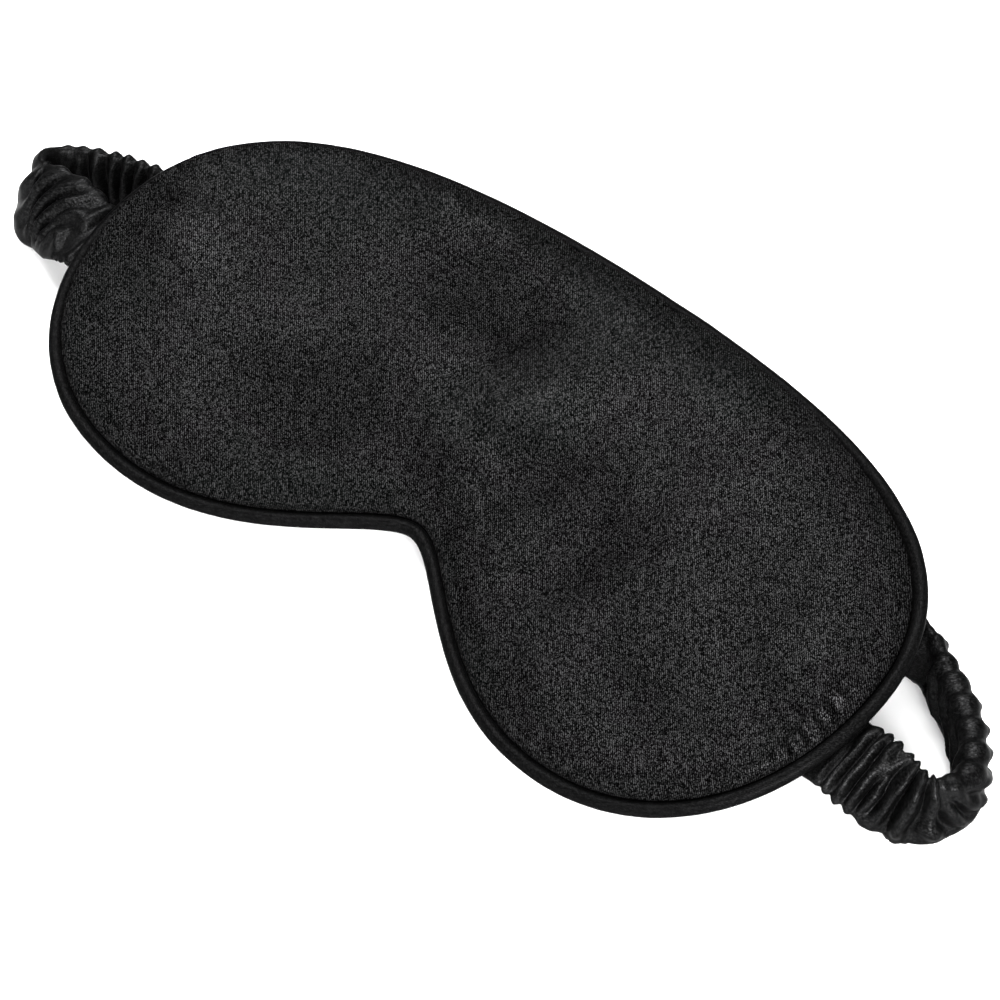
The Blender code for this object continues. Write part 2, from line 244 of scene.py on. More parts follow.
def cover_rings(edge_inset, crown, base, wall_share, rounding, overhang, pucker, pucker_reach, rows):
    """Rows of points from the seam to the spine, as x, y and height over the seam plane.

    The first rows turn up from the seam, with rounding as their radius and a bulge of overhang, and the
    others run in to the spine.
    """
    edge, spine = OUTLINE + INWARD * edge_inset, spine_points()
    span = np.linalg.norm(spine - edge, axis=1)
    toward = (spine - edge) / span[:, None]
    turns = np.linspace(0, pi / 2, rows[0], endpoint=False)
    shares = np.linspace(0, LAST_ROW, rows[1])
    full = crown - base
    xs, ys, zs = [], [], []
    for kind, value in [("turn", a) for a in turns] + [("share", q) for q in shares]:
        if kind == "turn":
            depth = rounding * (1 - cos(value)) - overhang * sin(2 * value)
            rise = sin(value)
        else:
            depth = rounding + (span - rounding) * value
            rise = 1.0
        t = np.clip(depth / span, 0, 1)
        tuck = pucker * np.exp(-np.maximum(depth, 0) / pucker_reach)
        height = full * (wall_share * rise + (1 - wall_share) * t * (2 - t))
        depth = depth + tuck * TUCK_PULL * MM * rise
        place = edge + toward * depth[:, None]
        xs.append(place[:, 0])
        ys.append(place[:, 1])
        zs.append(base + height * (1 - TUCK_DROP * tuck))
    return np.array(xs), np.array(ys), np.array(zs)


def oval_faces(first):
    """Quads across the ring whose points start at first."""
    quarter, half = OUTLINE_POINTS // 4, OUTLINE_POINTS // 2
    faces = []
    for i in range(-quarter, quarter):
        corners = [place % OUTLINE_POINTS for place in (i, i + 1, half - i - 1, half - i)]
        faces.append(tuple(first + c for c in dict.fromkeys(corners)))
    return faces


def cover_faces(rows):
    """Faces of a cover: its rows, and the last row's filling."""
    return grid_faces(rows, OUTLINE_POINTS) + oval_faces((rows - 1) * OUTLINE_POINTS)


def thicken(obj, thickness):
    """Gives a skin its cloth's thickness, outwards."""
    solid = obj.modifiers.new("cloth", "SOLIDIFY")
    solid.thickness = thickness
    solid.offset = 1.0
    solid.use_even_offset = False


# The wadding swells the front cover past its crown. The dents are full at this share of the height
OVERSTUFF, FULL_HEIGHT = 1.5 * MM, 0.81
# The steep stretches of the front's edge, for stretch()
BROW = (-50, 140, 16, 4, 80, 26)
LEFT_TOP = (-140, -50, 16, -2, 80, 18)
# Share of the crown that the edge rises at once, and what a steep stretch adds
WALL, BROW_WALL, LEFT_TOP_WALL = 0.46, 0.30, 0.22
# How round the edge is, and how far it bulges over the seam, each with what the brow adds
ROUNDING, BROW_ROUNDING = 2.4 * MM, 4.6 * MM
OVERHANG, BROW_OVERHANG = 0.5 * MM, 1.2 * MM
OVERHANG_HALF, OVERHANG_FADE = 48 * MM, 30 * MM
# Where the brow edge is tucked in by its stitches: x in mm, and depth
BROW_TUCKS = (
    (-59, 0.35), (-44, 0.6), (-32, 0.2), (-20, 0.8), (-14, 0.4),
    (7, 0.8), (22, 0.2), (37, 0.3), (60, 0.2),
)
# Tucks at the strap's right end: place in tuck spacings from the strap's middle, and depth
SEAM_TUCKS = ((-2, 0.6), (-1, 1.2), (0, 0.9), (1, 1.3), (2, 1.1), (3, 0.6))
SEAM_TUCK_SPACING, STRAP_SEAM_X = 4.0 * MM, 103 * MM
TUCK_SPACING, TUCK_DEPTH = 7.0 * MM, 0.3
TUCK_WIDTH, SEAM_TUCK_WIDTH, TUCK_REACH = 2.3 * MM, 1.5 * MM, 2.8 * MM
# Height and size of the front's random swells, ripples and grain
SWELL, SWELL_SIZE = 0.7 * MM, 19 * MM
RIPPLE, RIPPLE_SIZE = 0.22 * MM, 9 * MM
GRAIN, GRAIN_SIZE = 0.05 * MM, 3.5 * MM


def front_pucker():
    """Depth of the tucks in the front's edge at every point of the outline."""
    rng = np.random.default_rng(7)
    places = [(nearest(x * MM, BROW_Y), depth) for x, depth in BROW_TUCKS]
    places += scattered(rng, 0, PERIMETER, TUCK_SPACING, TUCK_DEPTH)
    right = nearest(STRAP_SEAM_X, RIGHT_SEAM_Y)
    seam_tucks = [(right + k * SEAM_TUCK_SPACING, depth) for k, depth in SEAM_TUCKS]
    return np.maximum(notches(places, TUCK_WIDTH), notches(seam_tucks, SEAM_TUCK_WIDTH))


def front_surface(further_in, drop, base, rows):
    """The front cover's inner face, or a layer that lies drop below it and further in from the edge.

    Gives x, y and z of every point, how much the dents count there, and its place on the flat.
    """
    brow, left_top = stretch(*BROW), stretch(*LEFT_TOP)
    wall_share = WALL + BROW_WALL * brow + LEFT_TOP_WALL * left_top
    rounding = ROUNDING + BROW_ROUNDING * brow
    middle = window(OUTLINE[:, 0], -OVERHANG_HALF, OVERHANG_HALF, OVERHANG_FADE)
    overhang = OVERHANG + BROW_OVERHANG * brow * middle
    crown = FRONT_CROWN + OVERSTUFF - drop
    x, y, z = cover_rings(PANEL_INSET + further_in, crown, np.full(OUTLINE_POINTS, base),
                          wall_share, rounding, overhang, front_pucker(), TUCK_REACH, rows)
    inner = np.clip((z - base) / (crown - base) / FULL_HEIGHT, 0, 1) ** 2
    flat = np.stack([x, y, np.zeros_like(x)], axis=-1)
    z = z + inner * (dents(x, y) + SWELL * noise_field(flat, SWELL_SIZE, 3.0))
    return x, y, z, inner, flat


# Painted shade along the seam: the satin mirrors nothing within the first of these distances of the seam, and
# mirrors fully the second further in
SEAM_SHADE_EDGE, SEAM_SHADE_REACH = 1.6 * MM, 2.5 * MM
# Stretches of the outline where the painted shade band is broader, for stretch(), and by how much
SEAM_SHADE_STRETCHES = (
    ((-20, 140, 60, 2, 80, 12), 6.0 * MM),
    ((65, 140, 45, 4, 80, 14), 9.0 * MM),
    ((-140, -40, 30, -80, -6, 20), 20.0 * MM),
    ((-30, -2, 10, -36, -20, 6), 10.0 * MM),
)
# At the strap's right end, by the tucks, the painted shade band stops nearer to the seam
NARROW_SHADE_TUCKS, NARROW_SHADE_SHARE = (80, 140, 10, -26, 0, 5), 0.7
# Painted shade in the dents and painted highlight on the swells, put into the satin's mirror share: share
# lost per mm of depth, and the limits of that
DENT_SHADE, LEAST_PAINTED_SHINE, MOST_PAINTED_SHINE = 0.36, 0.1, 1.5


def painted_seam_shade(x, y):
    """Painted shade along the seam: how much the satin mirrors, less in a band along the edge."""
    depth = np.hypot(x - x[0], y - y[0])
    reach = SEAM_SHADE_REACH
    for place, further in SEAM_SHADE_STRETCHES:
        reach = reach + further * stretch(*place)
    tucked = stretch(*NARROW_SHADE_TUCKS)
    share = np.clip((depth - SEAM_SHADE_EDGE * (1 - tucked)) / (reach * (1 - NARROW_SHADE_SHARE * tucked)), 0, 1)
    return smooth(share)


def front_cover(satin):
    """The satin on the mask's front."""
    x, y, z, inner, flat = front_surface(0.0, 0.0, PANEL_BASE, (16, 40))
    ripples, grain = noise_field(flat, RIPPLE_SIZE, 9.0), noise_field(flat, GRAIN_SIZE, 5.0)
    z = z + inner * (RIPPLE * ripples + GRAIN * grain)
    made = mesh_object("front_cover", to_world(x, y, z), cover_faces(len(x)), satin)
    spread(made, "weave", np.stack([x, y, z], axis=-1))
    # Painted shade and highlight: the satin mirrors less in the dents and more on the swells, on top of the
    # painted shade along the seam
    dent_shade_and_highlight = np.clip(1 + DENT_SHADE * inner * dents(x, y) / MM, LEAST_PAINTED_SHINE, MOST_PAINTED_SHINE)
    painted_shade_and_shine = painted_seam_shade(x, y) * dent_shade_and_highlight
    spread(made, "painted_shade_and_shine", np.repeat(painted_shade_and_shine[..., None], 3, axis=-1))
    thicken(made, FABRIC)
    return made


# How far the inner layers lie below the front cover
LINING_DROP, WADDING_DROP = 1.3 * MM, 3.4 * MM
TUFT, TUFT_SIZE = 0.12 * MM, 2.5 * MM


def lining(look):
    """The opaque cloth between the front cover and the wadding."""
    x, y, z = front_surface(FABRIC + GAP, LINING_DROP, PANEL_BASE, (8, 24))[:3]
    made = mesh_object("lining", to_world(x, y, z), cover_faces(len(x)), look)
    thicken(made, LINING_THICKNESS)
    return made


def wadding(look):
    """The closed body of felted fibres that fills the mask."""
    upper = front_surface(WADDING_DROP, WADDING_DROP, WADDING_BASE, (6, 22))[:3]
    span = np.linalg.norm(spine_points() - OUTLINE, axis=1) - TAB_INSET
    lower = cover_rings(TAB_INSET, -(REAR_CROWN - FABRIC - GAP), np.full(OUTLINE_POINTS, -PANEL_BASE),
                        FLAT_CROWN, EDGE_ROUND * span, 0.0, np.zeros(OUTLINE_POINTS), MM, (6, 22))
    ledge = [lower[0][:1], lower[1][:1], np.full((1, OUTLINE_POINTS), WADDING_BASE)]
    x, y, z = [np.concatenate([a[::-1], b, c]) for a, b, c in zip(upper, ledge, lower)]
    tuft = TUFT * noise_field(np.stack([x, y, z], axis=-1), TUFT_SIZE, 8.0)
    count = len(x)
    faces = grid_faces(count, OUTLINE_POINTS) + oval_faces((count - 1) * OUTLINE_POINTS)
    faces += [tuple(reversed(f)) for f in oval_faces(0)]
    return mesh_object("wadding", to_world(x, y, z - np.abs(tuft) * np.sign(z)), faces, look)


def tab_pocket():
    """1 on the outline where the rear cover makes room for a sewn end, with faded ends."""
    seam_y = np.where(OUTLINE[:, 0] > 0, RIGHT_SEAM_Y, LEFT_SEAM_Y)
    beyond = np.abs(OUTLINE[:, 1] - seam_y) - TAB_POCKET_HALF
    share = np.clip(1.0 - beyond / TAB_POCKET_FADE, 0, 1)
    return np.where(np.abs(OUTLINE[:, 0]) < HALF_LENGTH / 2, 0.0, share)


REAR_BULGE, REAR_OVERHANG, REAR_RIPPLE, REAR_RIPPLE_SIZE = 0.6 * MM, 0.2 * MM, 0.3 * MM, 15 * MM
REAR_TUCK_SPACING, REAR_TUCK_DEPTH, REAR_TUCK_WIDTH, REAR_TUCK_REACH = 8 * MM, 0.5, 1.7 * MM, 6 * MM
REAR_ROUND = 0.9
TABLE_GAP = 0.1 * MM


def rear_cover(satin):
    """The satin that lies on the face. It stays above the table."""
    rng = np.random.default_rng(11)
    base = -PANEL_BASE - (TAB_POCKET_DEPTH - PANEL_BASE) * tab_pocket()
    span = np.linalg.norm(spine_points() - OUTLINE, axis=1) - PANEL_INSET
    pucker = notches(scattered(rng, 0, PERIMETER, REAR_TUCK_SPACING, REAR_TUCK_DEPTH), REAR_TUCK_WIDTH)
    x, y, z = cover_rings(PANEL_INSET, -REAR_CROWN - REAR_BULGE, base, FLAT_CROWN,
                          EDGE_ROUND * span * REAR_ROUND, REAR_OVERHANG, pucker, REAR_TUCK_REACH, (12, 26))
    flat = np.stack([x, y, np.zeros_like(x)], axis=-1)
    ripple = REAR_RIPPLE * np.abs(noise_field(flat, REAR_RIPPLE_SIZE, 5.0))
    z = z - ripple * np.clip(-z / REAR_CROWN, 0, 1)
    points = to_world(x, y, z)
    points[..., 2] = np.maximum(points[..., 2], TABLE_GAP)
    faces = [tuple(reversed(f)) for f in cover_faces(len(x))]
    made = mesh_object("rear_cover", points, faces, satin)
    spread(made, "weave", np.stack([x, y, z], axis=-1))
    # Painted shade: a dark band along the seam, put into the satin's mirror share
    spread(made, "painted_shade_and_shine", np.repeat(painted_seam_shade(x, y)[..., None], 3, axis=-1))
    thicken(made, FABRIC)
    return made


# ------------------------------------------------------------------ piping

BEAD_RADIUS, BEAD_BORE = 1.5 * MM, 1.1 * MM
FLANGE_INSET, FLANGE_OUTER, FLANGE_INNER = 7.8 * MM, 0.45 * MM, 0.15 * MM
BEAD_STEPS, BORE_STEPS = 22, 8
# The bead's soft unevenness: height and size of its broad and fine swells
BEAD_SWELL, BEAD_SWELL_SIZE, BEAD_RIPPLE, BEAD_RIPPLE_SIZE = 0.07 * MM, 9 * MM, 0.035 * MM, 2.2 * MM
# Length in the noise, in mm, of a turn by one radian round the bead
BEAD_NOISE = 3


def bead_arc(radius, first, last, steps):
    """Part of a circle round the bead's middle, as distances in from the outline and heights."""
    angles = np.linspace(first, last, steps)
    return [(BEAD_RADIUS + radius * cos(a), radius * sin(a)) for a in angles]


def piping_profile():
    """The strip's section: the upper flange, round the bead, the lower flange, and back inside."""
    outer_turn = atan(FLANGE_OUTER / sqrt(BEAD_RADIUS**2 - FLANGE_OUTER**2))
    inner_turn = atan(FLANGE_INNER / sqrt(BEAD_BORE**2 - FLANGE_INNER**2))
    outer = bead_arc(BEAD_RADIUS, outer_turn, 2 * pi - outer_turn, BEAD_STEPS)
    inner = bead_arc(BEAD_BORE, 2 * pi - inner_turn, inner_turn, BORE_STEPS)
    lower_edge = [(FLANGE_INSET, -FLANGE_OUTER), (FLANGE_INSET, -FLANGE_INNER)]
    return [(FLANGE_INSET, FLANGE_OUTER)] + outer + lower_edge + inner + [(FLANGE_INSET, FLANGE_INNER)]


def piping(satin):
    """The satin strip wrapped round the piping's cord, with its flange in the seam."""
    rows = []
    for k, (across, height) in enumerate(piping_profile()):
        on_bead = 1 <= k <= BEAD_STEPS
        place = OUTLINE + INWARD * across
        angle = np.full(OUTLINE_POINTS, k / BEAD_STEPS * 2 * pi)
        if on_bead:
            around = np.stack([OUTLINE[:, 0], OUTLINE[:, 1], angle * BEAD_NOISE * MM], axis=-1)
            swell = BEAD_SWELL * noise_field(around, BEAD_SWELL_SIZE, 1.0)
            swell = swell + BEAD_RIPPLE * noise_field(around, BEAD_RIPPLE_SIZE, 4.0)
            direction = np.array([across - BEAD_RADIUS, height]) / BEAD_RADIUS
            place = place + INWARD * (direction[0] * swell)[:, None]
            height = height + direction[1] * swell
        world = to_world(place[:, 0], place[:, 1], height + np.zeros(OUTLINE_POINTS))
        rows.append((world, np.stack([DISTANCE, angle * BEAD_RADIUS, np.zeros(OUTLINE_POINTS)], axis=-1)))
    points = np.array([r[0] for r in rows])
    faces = grid_faces(len(rows), OUTLINE_POINTS, close_rows=True)
    made = mesh_object("piping", points, faces, satin)
    spread(made, "weave", np.array([r[1] for r in rows]))
    return made


# ------------------------------------------------------------------ strap

SEAM_WIDTH, SEAM_THICKNESS = 16.5 * MM, 2.2 * MM
# The sewn ends are pressed flat until they are clear of the piping
BEAD_CLEAR_X, BEAD_CLEAR_FADE = 102.6 * MM, 3.0 * MM
# Middle line, in mm and degrees: x, y, lean of the upper edge to the left of the run, lift, width,
# thickness, ridge spacing, ridge height, and slant of the ridges
RIGHT_LOOP = (
    (112.0, -9.8, 46, 6.0, 16.8, 4.0, 2.6, 1.15, 0.0),
    (117.3, -8.9, 26, 2.0, 17.0, 4.6, 2.7, 1.15, 0.0),
    (122.0, -6.8, 8, 0.0, 16.6, 5.0, 2.9, 1.05, 0.1),
    (124.2, -1.8, 0, 0.0, 15.2, 5.4, 3.8, 0.8, 0.45),
    (123.8, 4.9, -3, 0.0, 14.2, 6.4, 5.4, 0.5, 1.0),
    (117.6, 12.0, -4, 0.0, 13.8, 6.6, 6.2, 0.5, 1.2),
    (110.4, 17.4, -4, 0.0, 13.8, 6.4, 6.4, 0.55, 1.1),
    (103.2, 21.0, -4, 0.0, 14.2, 5.6, 5.4, 0.7, 0.6),
    (94.8, 24.4, -6, 0.0, 15.5, 4.8, 4.0, 0.9, 0.0),
    (75.0, 27.5, -20, 0.0, 17.5, 4.2, 3.8, 0.8, 0.0),
)
MIDDLE = (
    (50.0, 27.5, -32, 0.0, 18.0, 4.0, 3.6, 0.7, 0.0),
    (0.0, 25.0, -47, 0.0, 18.0, 4.0, 3.6, 0.7, 0.0),
    (-50.0, 20.0, -50, 0.0, 18.0, 4.0, 3.6, 0.7, 0.0),
)
LEFT_LOOP = (
    (-80.0, 16.0, -38, 0.0, 16.8, 4.0, 3.8, 0.7, 0.0),
    (-107.5, 10.9, -4, 0.0, 15.6, 4.0, 3.4, 0.8, 0.0),
    (-116.0, 8.9, 0, 0.0, 15.4, 4.0, 3.2, 0.8, 0.0),
    (-123.0, 6.1, 3, 0.0, 15.2, 4.0, 3.4, 0.7, 0.0),
    (-127.4, 2.4, -6, 0.0, 14.8, 4.0, 4.4, 0.45, -0.1),
    (-130.2, -2.2, 4, 0.0, 15.8, 4.2, 7.0, 0.35, -0.3),
    (-129.4, -6.4, 20, 0.0, 17.4, 4.2, 8.5, 0.4, -0.5),
    (-125.4, -9.4, 27, 0.3, 18.4, 4.0, 7.5, 0.5, -0.7),
    (-120.4, -10.2, 33, 2.6, 18.4, 3.8, 5.8, 0.7, -0.8),
    (-112.4, -11.4, 53, 6.6, 18.6, 3.6, 4.6, 0.9, -0.8),
)
SEWN_SPACING, SEWN_HEIGHT = 2.8 * MM, 0.8
RING_STEP = 0.33 * MM
# Steps between two stations, and how many rings each way the middle line is averaged over
CURVE_PARTS, SMOOTHING = 40, 5
STRAP_LIFT = 0.3 * MM


def sewn_station(x, seam_y):
    """The station of an end that lies in the seam, flat against the mask."""
    centre = to_world(np.array(x), np.array(seam_y), np.array(-TAB_DEPTH))
    lean = pi / 2 - TILT - atan(TWIST * x)
    lift = centre[2] - (SEAM_WIDTH - SEAM_THICKNESS) / 2 * cos(lean) - SEAM_THICKNESS / 2
    return (centre[0], centre[1], lean, lift, SEAM_WIDTH, SEAM_THICKNESS, SEWN_SPACING, SEWN_HEIGHT, 0.0)


def strap_stations():
    """Every station as x, y, lean, lift, width, thickness, spacing, height, slant."""
    free = [
        (x * MM, y * MM, radians(lean), lift * MM, width * MM, thickness * MM, spacing * MM, height, slant)
        for x, y, lean, lift, width, thickness, spacing, height, slant in RIGHT_LOOP + MIDDLE + LEFT_LOOP
    ]
    right = [sewn_station(x, RIGHT_SEAM_Y) for x in (TAB_END_X, STRAP_EXIT_X)]
    left = [sewn_station(-x, LEFT_SEAM_Y) for x in (STRAP_EXIT_X, TAB_END_X)]
    return np.array(right + free + left)


def strap_samples():
    """Stations resampled every RING_STEP along a smooth line through them."""
    stations = strap_stations()
    fine = []
    for i in range(1, len(stations) - 2):
        a, b, c, d = stations[i - 1 : i + 3]
        for t in np.linspace(0, 1, CURVE_PARTS, endpoint=False):
            fine.append(0.5 * (2 * b + (c - a) * t + (2 * a - 5 * b + 4 * c - d) * t * t
                               + (3 * b - a - 3 * c + d) * t**3))
    fine = np.array([stations[0]] + fine + list(stations[-2:]))
    length = np.concatenate([[0.0], np.cumsum(np.linalg.norm(np.diff(fine[:, :2], axis=0), axis=1))])
    count = int(length[-1] / RING_STEP) + 1
    at = np.linspace(0, length[-1], count)
    return at, np.stack([np.interp(at, length, fine[:, k]) for k in range(fine.shape[1])], axis=1)


def smoothed(values, reach):
    """values, averaged over reach steps to each side, ends kept."""
    kernel = np.hanning(2 * reach + 3)[1:-1]
    kernel /= kernel.sum()
    before, after = np.repeat(values[:1], reach, axis=0), np.repeat(values[-1:], reach, axis=0)
    padded = np.concatenate([before, values, after])
    return np.stack([np.convolve(padded[:, k], kernel, mode="valid") for k in range(values.shape[1])], axis=1)


def unit(vectors):
    """The vectors, each made one long."""
    return vectors / np.linalg.norm(vectors, axis=-1, keepdims=True)


class Strap:
    """The strap's middle line and its directions at every ring."""

    def __init__(self):
        self.at, samples = strap_samples()
        samples = smoothed(samples, SMOOTHING)
        x, y, lean, lift, self.width, self.thickness, self.spacing, self.height, self.slant = samples.T
        self.edge = edge_radius(self.thickness)
        past_bead = np.clip((np.abs(x) - BEAD_CLEAR_X) / BEAD_CLEAR_FADE, 0, 1)
        self.height = np.where(y < 0, self.height * past_bead, self.height)
        z = lift + (self.width / 2 - self.edge) * np.abs(np.cos(lean)) + self.edge + STRAP_LIFT
        self.middle = np.stack([x, y, z], axis=1)
        self.along = unit(np.gradient(self.middle, axis=0))
        left = unit(np.stack([-self.along[:, 1], self.along[:, 0], np.zeros_like(x)], axis=1))
        across = left * np.sin(lean)[:, None] + np.array([0, 0, 1.0]) * np.cos(lean)[:, None]
        across = across - self.along * np.sum(across * self.along, axis=1)[:, None]
        self.across = unit(across)
        self.through = np.cross(self.along, self.across)
        self.phase = np.cumsum(2 * pi / self.spacing) * (self.at[1] - self.at[0])


# Points round the strap's section, and how much of them its rounded edges take
SECTION_POINTS, EDGE_SHARE = 52, 0.16


def section():
    """Places round a flat section: share of the half reach across, and direction of the wall there."""
    straight, bend = 4.0, 2 * pi * EDGE_SHARE
    places = []
    for k in range(SECTION_POINTS):
        at = (k + 0.5) / SECTION_POINTS * (straight + bend)
        if at < 2:
            places.append((1 - at, 0.0, 1.0))
        elif at < 2 + bend / 2:
            angle = pi / 2 + (at - 2) / EDGE_SHARE
            places.append((-1.0, cos(angle), sin(angle)))
        elif at < 4 + bend / 2:
            places.append((-1 + (at - 2 - bend / 2), 0.0, -1.0))
        else:
            angle = -pi / 2 + (at - 4 - bend / 2) / EDGE_SHARE
            places.append((1.0, cos(angle), sin(angle)))
    return np.array(places)


# Radius of a thin and a thick strap's edge, and the thickness and fade between them
THIN_EDGE, THICK_EDGE, THICK_FROM, THICK_FADE = 1.1 * MM, 2.9 * MM, 5.8 * MM, 1.2 * MM
THICK_TO = 9 * MM
# A full gather: its height, how far it slides along the strap, how far it leans over, and its sharpness
RIDGE, SLIDE, LEAN_OVER, CREST = 1.75 * MM, 0.55 * MM, 0.5, 0.45
# The spacing at which a gather slides by SLIDE
USUAL_SPACING = 3.6 * MM
# How far the gathers wander from an even rhythm, in radians: broadly and finely, with the sizes of both
WANDER, WANDER_SIZE, FINE_WANDER, FINE_WANDER_SIZE = 1.1, 9 * MM, 0.55, 3.5 * MM
# The second rhythm that the gathers change to in places: its pace, its wander and where it starts
SECOND_RHYTHM, SECOND_WANDER, SECOND_START = 0.76, 1.2, 1.0
# The second rhythm's usual share, and how much that swings from place to place
SECOND_SHARE, SECOND_SWING = 0.2, 1.9
# How unequal the gathers' heights are
UNEVEN, UNEVEN_SIZE = 0.5, 6 * MM
# Shares of a gather's height and slide that are left on the strap's edges
EDGE_RIDGE, EDGE_SLIDE = 0.28, 0.4
# A slanted gather fades at the lower edge: the slant at which it fades fully, and the fade's reach
SLANTED, FOOT = 0.4, 0.35
FOLD_GRAIN, FOLD_GRAIN_SIZE = 0.12 * MM, 1.2 * MM
THINNEST_WALL = 0.58 * MM
# For the weave: cloth per length of strap, and the flat cloth's width divided by two pi
GATHERED, CLOTH_RADIUS = 1.6, 6.2 * MM
# Radius in mm of the tube on which the gathers' noise lies
NOISE_TUBE = 6


def edge_radius(thickness):
    """A thick stretch of strap has a rounder edge."""
    return THIN_EDGE + (THICK_EDGE - THIN_EDGE) * window(thickness, THICK_FROM, THICK_TO, THICK_FADE)


def crested(phase):
    """A fold a little narrower than its valleys, from -1 to 1."""
    lowest = exp(-2 * CREST)
    return 2 * (np.exp(CREST * (np.cos(phase) - 1)) - lowest) / (1 - lowest) - 1


def ridges(strap, place, round_way):
    """Height and slide of the gathers at every point, as shares of a full ridge."""
    turn_per_metre = 2 * pi / strap.spacing[:, None]
    slant = strap.slant[:, None] * round_way * turn_per_metre
    wander = WANDER * noise_field(place * (1, 0.6, 0.6), WANDER_SIZE, 2.0)
    wander = wander + FINE_WANDER * noise_field(place, FINE_WANDER_SIZE, 6.0)
    first = strap.phase[:, None] + slant + wander
    wander = SECOND_WANDER * noise_field(place, WANDER_SIZE, 12.0)
    second = SECOND_RHYTHM * strap.phase[:, None] + slant + wander + SECOND_START
    swing = SECOND_SWING * noise_field(place * (1, 0.8, 0.8), WANDER_SIZE, 20.0)
    mix = smooth(np.clip(SECOND_SHARE + swing, 0, 1))
    size = strap.height[:, None] * (1.0 + UNEVEN * noise_field(place * (1, 0.7, 0.7), UNEVEN_SIZE, 30.0))
    lift = size * ((1 - mix) * crested(first) + mix * crested(second))
    slide = size * ((1 - mix) * np.sin(first + LEAN_OVER) + mix * np.sin(second + LEAN_OVER))
    return lift, slide * strap.spacing[:, None] / USUAL_SPACING


def sleeve_cloth(strap):
    """Two coordinates of every point of the sleeve: on a tube, for the noise, and on the flat cloth."""
    around = np.arange(SECTION_POINTS) / SECTION_POINTS * 2 * pi
    rings = len(strap.at)
    tube = np.stack([np.cos(around) * NOISE_TUBE * MM, np.sin(around) * NOISE_TUBE * MM], axis=-1)
    along = np.repeat(strap.at[:, None, None], SECTION_POINTS, axis=1)
    place = np.concatenate([along, np.repeat(tube[None], rings, axis=0)], axis=-1)
    across = np.repeat((around * CLOTH_RADIUS)[None], rings, axis=0)
    cloth = np.stack([along[..., 0] * GATHERED, across, np.zeros_like(across)], axis=-1)
    return place, cloth


def ruched(strap, rows):
    """Outer points of the gathered sleeve for the rings in rows, and their cloth coordinates."""
    shape = section()
    share, out_across, out_through = shape[None, :, 0], shape[None, :, 1], shape[None, :, 2]
    edge = strap.edge[:, None]
    offset = share * (strap.width[:, None] / 2 - edge)
    place, cloth = sleeve_cloth(strap)
    round_way = -np.sign(out_through) * (1 - share) * (strap.width[:, None] / 2 - edge)
    lift, slide = ridges(strap, place, round_way)
    slanted = np.clip(np.abs(strap.slant[:, None]) / SLANTED, 0, 1)
    foot = 1 - slanted * (1 - np.clip((share + 1) / FOOT, 0, 1))
    lift, slide = lift * foot, slide * foot
    face = 1 - np.abs(share) ** 5
    fine = FOLD_GRAIN * strap.height[:, None] * noise_field(place * (1, 0.3, 0.3), FOLD_GRAIN_SIZE, 40.0)
    half = edge + (strap.thickness[:, None] / 2 - edge) * (1 - share**4)
    wall = half + lift * RIDGE * (EDGE_RIDGE + (1 - EDGE_RIDGE) * face) + fine
    wall = np.maximum(wall, THINNEST_WALL)
    slide = slide * SLIDE * (EDGE_SLIDE + (1 - EDGE_SLIDE) * face)
    points = (
        strap.middle[:, None, :]
        + strap.across[:, None, :] * (offset + out_across * wall)[..., None]
        + strap.through[:, None, :] * (out_through * wall)[..., None]
        + strap.along[:, None, :] * slide[..., None]
    )
    return points[rows], cloth[rows]


ELASTIC_WIDTH, ELASTIC_THICKNESS, ELASTIC_RIBS = 12.0 * MM, 0.7 * MM, 13
# How deep a groove between two ribs is, as a share of the half thickness
RIB_GROOVE = 0.3
# Half the inner tube's thickness, and how far it stays inside the sleeve and reaches past the elastic
TUBE_HALF, TUBE_INSET, TUBE_TRIM = 0.5 * MM, 0.3 * MM, 0.25 * MM
SLEEVE_TABLE_GAP = 0.05 * MM


def inner_tube(strap, rows):
    """The sleeve's inner face, just clear of the elastic."""
    shape = section()
    reach = np.maximum(strap.width / 2 - strap.edge - TUBE_INSET, ELASTIC_WIDTH / 2 - TUBE_TRIM)
    wall = np.full(len(strap.at), TUBE_HALF)
    offset = shape[None, :, 0] * reach[:, None] + shape[None, :, 1] * wall[:, None]
    points = (strap.middle[:, None, :] + strap.across[:, None, :] * offset[..., None]
              + strap.through[:, None, :] * (shape[None, :, 2] * wall[:, None])[..., None])
    return points[rows]


def sleeve(name, strap, rows, satin):
    """A length of the gathered satin tube, open inside and with its ends turned in."""
    outer, cloth = ruched(strap, rows)
    inner = inner_tube(strap, rows)[::-1]
    outer[..., 2] = np.maximum(outer[..., 2], SLEEVE_TABLE_GAP)
    points = np.concatenate([outer, inner])
    made = mesh_object(name, points, grid_faces(len(points), SECTION_POINTS, close_rows=True), satin)
    spread(made, "weave", np.concatenate([cloth, cloth[::-1]]))
    return made


def elastic(name, strap, rows, look):
    """A flat ribbed band inside the sleeve."""
    shares = np.linspace(-1, 1, 2 * ELASTIC_RIBS + 1)
    rib = ELASTIC_THICKNESS / 2 * (1 - RIB_GROOVE * (np.arange(len(shares)) % 2 == 0))
    across = np.concatenate([shares, shares[::-1]]) * ELASTIC_WIDTH / 2
    through = np.concatenate([rib, -rib[::-1]])
    rows = rows[::3]
    points = (strap.middle[rows, None, :] + strap.across[rows, None, :] * across[None, :, None]
              + strap.through[rows, None, :] * through[None, :, None])
    count = len(across)
    faces = grid_faces(len(rows), count)
    faces.append(tuple(range(count))[::-1])
    faces.append(tuple((len(rows) - 1) * count + k for k in range(count)))
    made = mesh_object(name, points, faces, look)
    cloth = np.stack(np.broadcast_arrays(strap.at[rows, None], across[None, :], np.zeros((1, 1))), axis=-1)
    spread(made, "weave", cloth)
    return made


